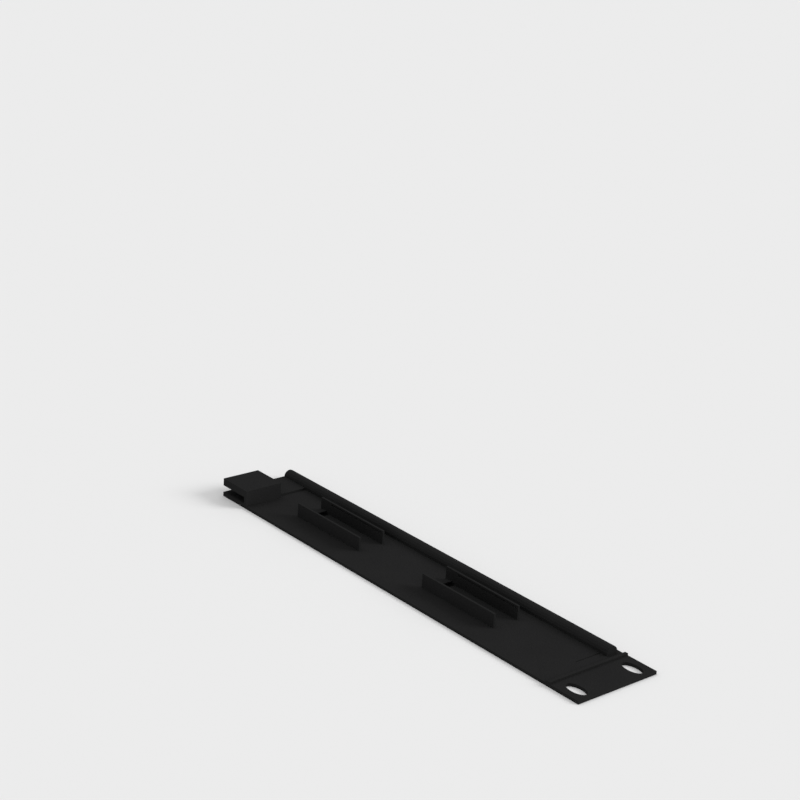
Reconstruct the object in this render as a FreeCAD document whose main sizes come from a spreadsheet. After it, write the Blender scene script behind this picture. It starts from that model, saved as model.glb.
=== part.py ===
import FreeCAD, Part
import os
import Sketcher

# Half-width rack panel bracket for a small computer, in millimetres.
# It lies on its front face with its ribs up.
# X runs from the joint end to the ear, Y from the hook's edge to the bead's edge.
SIZES = {
    # panel
    "panel_length": "241.3",
    "panel_width": "44.45",
    "plate_thickness": "1.4",
    # joint end with its hook
    "joint_pad_length": "17.2",
    "joint_pad_thickness": "2.4",
    "hook_width": "20.1",
    "hook_height": "9.05",
    "hook_pillar": "2",
    "hook_slot_depth": "17",
    "hook_slot_sink": "0.3",
    "hook_slot_gap": "3.4",
    # stiffening bead along the back edge
    "bead_length": "221.1",
    "bead_width": "6",
    "bead_side_height": "2.2",
    "bead_setback": "2.15",
    "bead_flats": "8",
    # pairs of ribs that form the channels
    "rib_start": "41",
    "rib_length": "46",
    "rib_thickness": "1",
    "rib_height": "8",
    "rib_pitch": "90",
    "rib_pairs": "2",
    "channel_setback": "14.9",
    "channel_width": "12.7",
    # snap groove under the top edge of each rib
    "groove_height": "0.8",
    "groove_depth": "0.5",
    "groove_drop": "0.7",
    "groove_lead": "8",
    "groove_tail": "1.3",
    # hollow catch at the joint end of each channel
    "catch_length": "4.4",
    "catch_low": "2.3",
    "catch_high": "2.8",
    "catch_lip": "0.6",
    "catch_wall": "1",
    "catch_floor": "0.6",
    "catch_apron": "2",
    # short score line in the plate, from the bead towards the front edge
    "score_setback": "23.7",
    "score_length": "14.2",
    "score_width": "0.4",
    "score_depth": "0.3",
    # ear with its stop ridge and oval holes
    "ear_length": "16",
    "ear_thickness": "1.5",
    "ridge_height": "2.4",
    "ridge_land": "1.6",
    "ridge_ramp": "1.4",
    "hole_length": "10.9",
    "hole_width": "5.9",
    "hole_spacing": "31.75",
    "hole_inset": "7.5",
    "hole_count": "2",
}

doc = FreeCAD.newDocument("RackBracket")
sheet = doc.addObject("Spreadsheet::Sheet", "Sizes")
for row, (alias, value) in enumerate(SIZES.items(), start=1):
    sheet.set(f"A{row}", alias)
    sheet.set(f"B{row}", value)
    sheet.setAlias(f"B{row}", alias)
doc.recompute()

body = doc.addObject("PartDesign::Body", "RackBracket")
body.Label = "rack_bracket"
planes = {f.Role: f for f in body.Origin.OriginFeatures}


def sketch_on(role, name, offset=None):
    """Start a sketch on one of the body's origin planes, moved along the plane's normal by offset."""
    sketch = body.newObject("Sketcher::SketchObject", name)
    sketch.AttachmentSupport = [(planes[role], "")]
    sketch.MapMode = "FlatFace"
    if offset:
        sketch.setExpression("AttachmentOffset.Base.z", offset)
    return sketch


def place(sketch, geometry, point, across, up):
    """Hold one point of a sketch at its two distances from the sketch's origin."""
    for kind, distance in (("DistanceX", across), ("DistanceY", up)):
        value = float(sketch.evalExpression(distance))
        index = sketch.addConstraint(Sketcher.Constraint(kind, -1, 1, geometry, point, value))
        sketch.setExpression(f"Constraints[{index}]", distance)


def outline(sketch, corners):
    """Draw a closed outline of straight lines through the given corners."""
    points = [FreeCAD.Vector(*(float(sketch.evalExpression(d)) for d in corner)) for corner in corners]
    lines = []
    for start, end in zip(points, points[1:] + points[:1]):
        lines.append(sketch.addGeometry(Part.LineSegment(start, end), False))
    for line, following in zip(lines, lines[1:] + lines[:1]):
        sketch.addConstraint(Sketcher.Constraint("Coincident", line, 2, following, 1))
    for line, corner in zip(lines, corners):
        place(sketch, line, 1, *corner)


def rectangle(sketch, left, bottom, right, top):
    outline(sketch, [(left, bottom), (right, bottom), (right, top), (left, top)])


def grow(kind, name, sketch, length, flip=False):
    """Pad or pocket a sketch by a length; flip turns it to the other side of the sketch's plane."""
    feature = body.newObject(f"PartDesign::{kind}", name)
    feature.Profile = sketch
    feature.Reversed = flip
    feature.setExpression("Length", length)
    sketch.Visibility = False
    doc.recompute()
    return feature


def repeat(name, originals, direction, pitch, count):
    """Repeat features in a row along one axis of a sketch."""
    pattern = body.newObject("PartDesign::LinearPattern", name)
    pattern.Originals = originals
    pattern.Direction = direction
    pattern.setExpression("Length", f"{pitch} * ({count} - 1)")
    pattern.setExpression("Occurrences", count)
    body.Tip = pattern
    doc.recompute()
    return pattern


# Thin front plate over the whole outline
sketch = sketch_on("XY_Plane", "PlateSketch")
rectangle(sketch, "0 mm", "0 mm", "Sizes.panel_length", "Sizes.panel_width")
grow("Pad", "Plate", sketch, "Sizes.plate_thickness")

# Raised pad across the joint end
sketch = sketch_on("XY_Plane", "JointPadSketch")
rectangle(sketch, "0 mm", "0 mm", "Sizes.joint_pad_length", "Sizes.panel_width")
grow("Pad", "JointPad", sketch, "Sizes.joint_pad_thickness")

# Joining hook: a slab on a pillar at the pad's end, open towards the joint end and at both sides
sketch = sketch_on("XY_Plane", "HookBlockSketch")
hook_length = "Sizes.hook_slot_depth + Sizes.hook_pillar"
rectangle(sketch, "0 mm", "0 mm", hook_length, "Sizes.hook_width")
grow("Pad", "HookBlock", sketch, "Sizes.hook_height")

sketch = sketch_on("XZ_Plane", "HookSlotSketch")
slot_floor = "Sizes.joint_pad_thickness - Sizes.hook_slot_sink"
slot_roof = f"{slot_floor} + Sizes.hook_slot_gap"
rectangle(sketch, "0 mm", slot_floor, "Sizes.hook_slot_depth", slot_roof)
grow("Pocket", "HookSlot", sketch, "Sizes.hook_width")

# Bead along the back edge: upright sides, and a round top made of equal flats
sketch = sketch_on("YZ_Plane", "BeadSketch")
bead_half = "Sizes.bead_width / 2"
bead_middle = f"Sizes.panel_width - Sizes.bead_setback - {bead_half}"
bead_reach = f"{bead_half} / cos(90 deg / Sizes.bead_flats)"
section = [(f"{bead_middle} - {bead_half}", "0 mm"), (f"{bead_middle} + {bead_half}", "0 mm")]
for flat in range(int(sheet.bead_flats)):
    turn = f"180 deg * (2 * {flat} + 1) / (2 * Sizes.bead_flats)"
    across = f"{bead_middle} + {bead_reach} * cos({turn})"
    up = f"Sizes.bead_side_height + {bead_reach} * sin({turn})"
    section.append((across, up))
outline(sketch, section)
grow("Pad", "Bead", sketch, "Sizes.bead_length")

# First pair of ribs, with the channel between them
channel_front = "Sizes.channel_setback"
channel_back = "Sizes.channel_setback + Sizes.channel_width"
rib_end = "Sizes.rib_start + Sizes.rib_length"
rib_sketch = sketch_on("XY_Plane", "RibSketch")
rectangle(rib_sketch, "Sizes.rib_start", f"{channel_front} - Sizes.rib_thickness", rib_end, channel_front)
rectangle(rib_sketch, "Sizes.rib_start", channel_back, rib_end, f"{channel_back} + Sizes.rib_thickness")
ribs = grow("Pad", "Ribs", rib_sketch, "Sizes.rib_height")

# Catch between the ribs: a ramp that rises to a thin lip over a blind hollow
sketch = sketch_on("XZ_Plane", "CatchSketch", f"-({channel_front})")
catch_end = "Sizes.rib_start + Sizes.catch_length"
ramp = [
    ("Sizes.rib_start", "0 mm"),
    (catch_end, "0 mm"),
    (catch_end, "Sizes.catch_high"),
    ("Sizes.rib_start", "Sizes.catch_low"),
]
outline(sketch, ramp)
catch = grow("Pad", "Catch", sketch, "Sizes.channel_width", flip=True)

sketch = sketch_on("XZ_Plane", "CatchHollowSketch", f"-({channel_front})")
hollow = [
    ("Sizes.rib_start + Sizes.catch_wall", "Sizes.catch_floor"),
    (f"{catch_end} + Sizes.catch_apron", "Sizes.catch_floor"),
    (f"{catch_end} + Sizes.catch_apron", "Sizes.catch_high - Sizes.catch_lip"),
    ("Sizes.rib_start + Sizes.catch_wall", "Sizes.catch_high - Sizes.catch_lip"),
]
outline(sketch, hollow)
catch_hollow = grow("Pocket", "CatchHollow", sketch, "Sizes.channel_width")

# Snap groove in the inner face of both ribs
sketch = sketch_on("YZ_Plane", "GrooveSketch", "Sizes.rib_start + Sizes.groove_lead")
groove_top = "Sizes.rib_height - Sizes.groove_drop"
groove_front = f"{channel_front} - Sizes.groove_depth"
groove_back = f"{channel_back} + Sizes.groove_depth"
rectangle(sketch, groove_front, f"{groove_top} - Sizes.groove_height", groove_back, groove_top)
groove_length = "Sizes.rib_length - Sizes.groove_lead - Sizes.groove_tail"
grooves = grow("Pocket", "SnapGrooves", sketch, groove_length, flip=True)

# Further pairs of ribs at even steps along the panel
pair_features = [ribs, catch, catch_hollow, grooves]
repeat("RibPairs", pair_features, (rib_sketch, ["H_Axis"]), "Sizes.rib_pitch", "Sizes.rib_pairs")

# Short score line in the plate before the ear, from the bead towards the front edge
score_front = "Sizes.panel_width - Sizes.bead_setback - Sizes.bead_width - Sizes.score_length"
sketch = sketch_on("XZ_Plane", "ScoreSketch", f"-({score_front})")
score_start = "Sizes.panel_length - Sizes.score_setback - Sizes.score_width"
score_floor = "Sizes.plate_thickness - Sizes.score_depth"
score_end = "Sizes.panel_length - Sizes.score_setback"
rectangle(sketch, score_start, score_floor, score_end, "Sizes.plate_thickness")
grow("Pocket", "ScoreLine", sketch, "Sizes.score_length")

# Ear, slightly thicker than the plate
sketch = sketch_on("XY_Plane", "EarSketch")
ear_start = "Sizes.panel_length - Sizes.ear_length"
rectangle(sketch, ear_start, "0 mm", "Sizes.panel_length", "Sizes.panel_width")
grow("Pad", "Ear", sketch, "Sizes.ear_thickness")

# Stop ridge with a ramp on its inner side, along the inner edge of the ear
sketch = sketch_on("XZ_Plane", "RidgeSketch")
ridge_crest = f"{ear_start} - Sizes.ridge_land"
ridge = [
    (f"{ridge_crest} - Sizes.ridge_ramp", "0 mm"),
    (ear_start, "0 mm"),
    (ear_start, "Sizes.ridge_height"),
    (ridge_crest, "Sizes.ridge_height"),
    (f"{ridge_crest} - Sizes.ridge_ramp", "Sizes.plate_thickness"),
]
outline(sketch, ridge)
grow("Pad", "StopRidge", sketch, "Sizes.panel_width", flip=True)

# Oval rack holes in the ear
hole_sketch = sketch_on("XY_Plane", "HoleSketch")
hole_across = "Sizes.panel_length - Sizes.hole_inset"
hole_up = "(Sizes.panel_width - Sizes.hole_spacing * (Sizes.hole_count - 1)) / 2"
centre = FreeCAD.Vector(*(float(hole_sketch.evalExpression(d)) for d in (hole_across, hole_up)))
major = float(hole_sketch.evalExpression("Sizes.hole_length / 2"))
minor = float(hole_sketch.evalExpression("Sizes.hole_width / 2"))
oval = hole_sketch.addGeometry(Part.Ellipse(centre, major, minor), False)
hole_sketch.exposeInternalGeometry(oval)
long_axis = oval + 1
short_axis = oval + 2
hole_sketch.addConstraint(Sketcher.Constraint("Horizontal", long_axis))
for axis, length in ((long_axis, "Sizes.hole_length"), (short_axis, "Sizes.hole_width")):
    value = float(hole_sketch.evalExpression(length))
    index = hole_sketch.addConstraint(Sketcher.Constraint("Distance", axis, value))
    hole_sketch.setExpression(f"Constraints[{index}]", length)
place(hole_sketch, oval, 3, hole_across, hole_up)
hole = grow("Pocket", "RackHole", hole_sketch, "Sizes.ear_thickness", flip=True)
repeat("RackHoles", [hole], (hole_sketch, ["V_Axis"]), "Sizes.hole_spacing", "Sizes.hole_count")

# The origin is the middle of the front face
body.setExpression("Placement.Base.x", "-Sizes.panel_length / 2")
body.setExpression("Placement.Base.y", "-Sizes.panel_width / 2")
doc.recompute()

for item in doc.Objects:
    if "Invalid" in item.State or "Error" in item.State:
        raise RuntimeError(f"{item.Name} did not build: {item.State}")
if body.Shape.isNull() or not body.Shape.isValid():
    raise RuntimeError("the bracket is not a valid solid")

os.makedirs("parts", exist_ok=True)
body.Shape.exportStep(f"parts/{body.Label}.step")
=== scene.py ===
import math

import bpy
from mathutils import Matrix, Vector

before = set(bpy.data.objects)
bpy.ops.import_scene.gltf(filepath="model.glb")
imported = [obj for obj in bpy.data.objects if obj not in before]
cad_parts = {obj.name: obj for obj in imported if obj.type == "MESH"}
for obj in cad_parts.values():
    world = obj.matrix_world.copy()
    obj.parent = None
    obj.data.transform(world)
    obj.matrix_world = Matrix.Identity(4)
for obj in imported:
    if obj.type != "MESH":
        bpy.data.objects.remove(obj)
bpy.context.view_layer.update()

MM = 0.001

# Camera: where it stands, which way it looks, how long its lens is and how far it sees
EYE = Vector((546.615, -493.79, 347.706)) * MM
YAW = math.radians(49.01)
PITCH = math.radians(19.82)
ROLL = math.radians(-3.75)
LENS_MM = 82.69
SENSOR_MM = 36.0
NEAREST = 0.01
FURTHEST = 50.0

# Pale floor, and the white room as it lights the bracket and as it is seen
FLOOR_SPAN = 12.0
FLOOR_COLOUR = (0.83, 0.83, 0.83, 1.0)
ROOM_COLOUR = (1.0, 1.0, 1.0, 1.0)
ROOM_STRENGTH = 0.63
BACKDROP_STRENGTH = 0.83
# Soft lamps: degrees round from the ear end, degrees up, width in degrees, strength
LAMPS = {
    "key": (47.0, 26.0, 28.0, 1.77),
    "fill": (200.0, 62.0, 40.0, 0.47),
}

# Matte black plastic, with so little gloss that it stays black in a white room
PLASTIC_DARK = (0.0130, 0.0130, 0.0131, 1.0)
PLASTIC_LIGHT = (0.0236, 0.0236, 0.0237, 1.0)
PLASTIC_SPECULAR = 0.001
PLASTIC_ROUGHNESS = (0.5, 0.8)
# Fine moulded grain and wide faint blotches, and the grain's share in the changes of shade
GRAIN_PER_METRE = 1800.0
GRAIN_DETAIL = 2.0
GRAIN_DEPTH = 0.0002
GRAIN_SHARE = 0.6
BLOTCH_PER_METRE = 60.0
BLOTCH_DETAIL = 4.0


def cleared_tree(owner):
    """The empty node tree of a material or a world."""
    owner.use_nodes = True
    owner.node_tree.nodes.clear()
    return owner.node_tree


def add(tree, kind, values=None, **settings):
    """Add a node with its settings and the values of its input sockets."""
    node = tree.nodes.new(kind)
    for name, setting in settings.items():
        setattr(node, name, setting)
    for socket, value in (values or {}).items():
        node.inputs[socket].default_value = value
    return node


def matte_black_plastic():
    """Black moulded plastic with a fine grain and faint cloudy changes of shade."""
    material = bpy.data.materials.new("matte_black_plastic")
    tree = cleared_tree(material)
    link = tree.links.new
    least_rough, most_rough = PLASTIC_ROUGHNESS
    coordinates = add(tree, "ShaderNodeTexCoord")
    grain = add(tree, "ShaderNodeTexNoise", {"Scale": GRAIN_PER_METRE, "Detail": GRAIN_DETAIL})
    blotch = add(tree, "ShaderNodeTexNoise", {"Scale": BLOTCH_PER_METRE, "Detail": BLOTCH_DETAIL})
    mottle = add(tree, "ShaderNodeMix", {"Factor": GRAIN_SHARE}, data_type="FLOAT")
    shade = add(tree, "ShaderNodeMix", {"A": PLASTIC_DARK, "B": PLASTIC_LIGHT}, data_type="RGBA")
    rough = add(tree, "ShaderNodeMapRange", {"To Min": least_rough, "To Max": most_rough})
    bump = add(tree, "ShaderNodeBump", {"Distance": GRAIN_DEPTH})
    plastic = add(tree, "ShaderNodeBsdfPrincipled", {"Specular IOR Level": PLASTIC_SPECULAR})
    surface = add(tree, "ShaderNodeOutputMaterial")
    link(coordinates.outputs["Object"], grain.inputs["Vector"])
    link(coordinates.outputs["Object"], blotch.inputs["Vector"])
    link(blotch.outputs["Fac"], mottle.inputs["A"])
    link(grain.outputs["Fac"], mottle.inputs["B"])
    link(mottle.outputs["Result"], shade.inputs["Factor"])
    link(blotch.outputs["Fac"], rough.inputs["Value"])
    link(grain.outputs["Fac"], bump.inputs["Height"])
    link(shade.outputs["Result"], plastic.inputs["Base Color"])
    link(rough.outputs["Result"], plastic.inputs["Roughness"])
    link(bump.outputs["Normal"], plastic.inputs["Normal"])
    link(plastic.outputs["BSDF"], surface.inputs["Surface"])
    return material


def pale_floor():
    """Plain matte floor."""
    material = bpy.data.materials.new("pale_floor")
    tree = cleared_tree(material)
    diffuse = add(tree, "ShaderNodeBsdfDiffuse", {"Color": FLOOR_COLOUR})
    surface = add(tree, "ShaderNodeOutputMaterial")
    tree.links.new(diffuse.outputs["BSDF"], surface.inputs["Surface"])
    return material


def make_floor():
    """One flat square under the bracket."""
    half = FLOOR_SPAN / 2
    mesh = bpy.data.meshes.new("floor")
    corners = [(-half, -half, 0), (half, -half, 0), (half, half, 0), (-half, half, 0)]
    mesh.from_pydata(corners, [], [(0, 1, 2, 3)])
    floor = bpy.data.objects.new("floor", mesh)
    mesh.materials.append(pale_floor())
    bpy.context.scene.collection.objects.link(floor)


def make_room():
    """An evenly white room, which looks like the floor wherever it is seen or mirrored."""
    world = bpy.data.worlds.new("white_room")
    bpy.context.scene.world = world
    tree = cleared_tree(world)
    link = tree.links.new
    path = add(tree, "ShaderNodeLightPath")
    seen = path.outputs["Is Camera Ray"]
    for ray in ("Is Glossy Ray", "Is Transmission Ray"):
        either = add(tree, "ShaderNodeMath", operation="MAXIMUM")
        link(seen, either.inputs[0])
        link(path.outputs[ray], either.inputs[1])
        seen = either.outputs["Value"]
    levels = {"To Min": ROOM_STRENGTH, "To Max": BACKDROP_STRENGTH}
    strength = add(tree, "ShaderNodeMapRange", levels)
    room = add(tree, "ShaderNodeBackground", {"Color": ROOM_COLOUR})
    surface = add(tree, "ShaderNodeOutputWorld")
    link(seen, strength.inputs["Value"])
    link(strength.outputs["Result"], room.inputs["Strength"])
    link(room.outputs["Background"], surface.inputs["Surface"])


def make_lamps():
    """Soft lamps, so far away that they light the whole bracket alike."""
    for name, (around, height, width, strength) in LAMPS.items():
        lamp = bpy.data.lights.new(name, "SUN")
        lamp.energy = strength
        lamp.angle = math.radians(width)
        around, height = math.radians(around), math.radians(height)
        reach = math.cos(height)
        towards = Vector((reach * math.cos(around), reach * math.sin(around), math.sin(height)))
        holder = bpy.data.objects.new(name, lamp)
        holder.rotation_euler = towards.to_track_quat("Z", "Y").to_euler()
        bpy.context.scene.collection.objects.link(holder)


def make_camera():
    """A camera turned by its yaw and pitch, then rolled about its line of sight."""
    right = Vector((math.cos(YAW), math.sin(YAW), 0.0))
    forward = Vector((
        -math.sin(YAW) * math.cos(PITCH),
        math.cos(YAW) * math.cos(PITCH),
        -math.sin(PITCH),
    ))
    down = forward.cross(right)
    across = math.cos(ROLL) * right + math.sin(ROLL) * down
    below = math.cos(ROLL) * down - math.sin(ROLL) * right
    turn = Matrix((across, -below, -forward)).transposed()
    lens = bpy.data.cameras.new("camera")
    lens.sensor_width = SENSOR_MM
    lens.lens = LENS_MM
    lens.clip_start = NEAREST
    lens.clip_end = FURTHEST
    camera = bpy.data.objects.new("camera", lens)
    camera.matrix_world = Matrix.Translation(EYE) @ turn.to_4x4()
    bpy.context.scene.collection.objects.link(camera)
    bpy.context.scene.camera = camera


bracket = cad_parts["rack_bracket"]
bracket.data.materials.clear()
bracket.data.materials.append(matte_black_plastic())
make_floor()
make_room()
make_lamps()
make_camera()
bpy.context.scene.view_settings.view_transform = "Standard"
